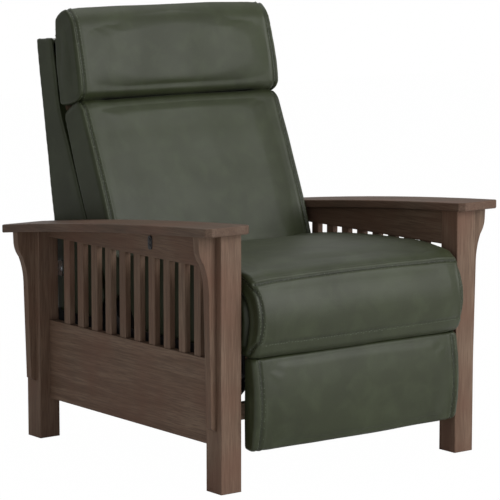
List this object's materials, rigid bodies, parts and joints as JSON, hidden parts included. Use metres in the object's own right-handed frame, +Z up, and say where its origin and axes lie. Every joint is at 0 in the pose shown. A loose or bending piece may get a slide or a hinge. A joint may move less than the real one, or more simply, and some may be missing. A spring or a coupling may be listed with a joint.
{
  "type": "power recliner chair",
  "caption": "Mission-style power recliner: slatted timber sides with bowed arms, leather seat, reclining back, tilting headrest and a footrest on folding links.",
  "frame": {"origin": "on the floor, midway between the sides and between front and rear posts", "axes": "+X to the sitter's left, +Y to the rear of the chair, +Z up; the sitter faces -Y"},
  "size_m": [0.868, 0.9132, 1.068],
  "materials": {
    "timber": "satin",
    "plain_wood": "matte",
    "leather": "satin",
    "black_steel": "satin",
    "zinc_steel": "satin",
    "alloy": "satin",
    "plastic": "matte",
    "nylon": "matte",
    "webbing": "matte"
  },
  "bodies": {
    "frame": {"arm_left": "timber", "arm_right": "timber", "front_post_left": "timber", "front_post_right": "timber", "rear_post_left": "timber", "rear_post_right": "timber", "upper_rail_left": "timber", "upper_rail_right": "timber", "side_panel_left": "timber", "side_panel_right": "timber", "slats_left": "timber", "slats_right": "timber", "corbels": "timber", "floor_glides": "nylon", "front_cross_rail": "plain_wood", "rear_panel": "timber", "base_channels": "black_steel", "frame_bolts": "zinc_steel", "stop_brackets": "zinc_steel", "switch_bezel": "plastic", "power_supply": "plastic", "power_inlet": "plastic"},
    "recline_button": {"recline_button": "plastic"},
    "return_button": {"return_button": "plastic"},
    "seat": {"seat_plates": "black_steel", "seat_front_rail": "plain_wood", "seat_rear_rail": "plain_wood", "seat_springs": "zinc_steel", "slide_bars": "black_steel", "slide_shoes": "nylon", "cross_tubes": "black_steel", "drive_rail": "alloy", "drive_motor": "plastic", "rail_hanger": "black_steel", "seat_cushion": "leather", "back_hinge_pins": "zinc_steel"},
    "drive_screw": {"drive_screw": "zinc_steel"},
    "drive_sled": {"drive_sled": "nylon"},
    "lift": {"lift_shaft": "black_steel", "lift_links": "black_steel", "lift_crank": "black_steel", "knee_pins": "zinc_steel"},
    "foot_links": {"foot_links": "black_steel"},
    "footrest": {"footrest_board": "plain_wood", "footrest_brackets": "black_steel", "footrest_pins": "zinc_steel", "footrest_pad": "leather"},
    "back": {"back_shell": "leather", "back_stiles": "plain_wood", "back_rails": "plain_wood", "back_brackets": "black_steel", "back_webbing": "webbing", "back_cushion": "leather", "headrest_hinge_bases": "black_steel", "headrest_motor": "plastic"},
    "headrest": {"headrest_cushion": "leather", "headrest_board": "plain_wood", "headrest_hinge_arms": "black_steel"},
    "headrest_rod": {"headrest_rod": "zinc_steel"}
  },
  "joints": [
    {"name": "recline_press", "type": "slide", "parent": "frame", "child": "recline_button", "axis": [1, 0, 0], "range_m": [0, 0.0012], "stiffness_N_per_m": 400},
    {"name": "return_press", "type": "slide", "parent": "frame", "child": "return_button", "axis": [1, 0, 0], "range_m": [0, 0.0012], "stiffness_N_per_m": 400},
    {"name": "seat_slide", "type": "slide", "parent": "frame", "child": "seat", "axis": [0, -1, 0], "range_m": [0, 0.06]},
    {"name": "back_recline", "type": "hinge", "parent": "seat", "child": "back", "pos_m": [0, 0.15, 0.33], "axis": [-1, 0, 0], "range_deg": [0, 30.05]},
    {"name": "headrest_tip", "type": "hinge", "parent": "back", "child": "headrest", "pos_m": [0, 0.3, 0.838], "axis": [1, 0, 0], "range_deg": [0, 30]},
    {"name": "headrest_push", "type": "slide", "parent": "back", "child": "headrest_rod", "axis": [0, 0.2496, 0.9683], "range_m": [0, 0.05073]},
    {"name": "footrest_lift", "type": "hinge", "parent": "seat", "child": "lift", "pos_m": [0, -0.318, 0.235], "axis": [-1, 0, 0], "range_deg": [0, 135]},
    {"name": "foot_link_swing", "type": "hinge", "parent": "lift", "child": "foot_links", "pos_m": [0, -0.20873, 0.10477], "axis": [1, 0, 0], "range_deg": [0, 146.05]},
    {"name": "footrest_turn", "type": "hinge", "parent": "foot_links", "child": "footrest", "pos_m": [0, -0.36, 0.245], "axis": [-1, 0, 0], "range_deg": [0, 101.05]},
    {"name": "sled_travel", "type": "slide", "parent": "seat", "child": "drive_sled", "axis": [0, -1, 0], "range_m": [0, 0.06672]},
    {"name": "screw_spin", "type": "hinge", "parent": "seat", "child": "drive_screw", "pos_m": [0, 0, 0.17], "axis": [0, 1, 0], "range_deg": [0, 1996.58]}
  ],
  "couplings": [
    {"joint": "back_recline", "follows": "seat_slide", "rad_per_m": 8.7266},
    {"joint": "headrest_push", "follows": "headrest_tip", "m_per_rad": 0.096505},
    {"joint": "foot_link_swing", "follows": "footrest_lift", "ratio": 1.0815},
    {"joint": "footrest_turn", "follows": "footrest_lift", "ratio": 0.74815},
    {"joint": "sled_travel", "follows": "footrest_lift", "m_per_rad": 0.028232},
    {"joint": "screw_spin", "follows": "footrest_lift", "ratio": 14.782}
  ]
}
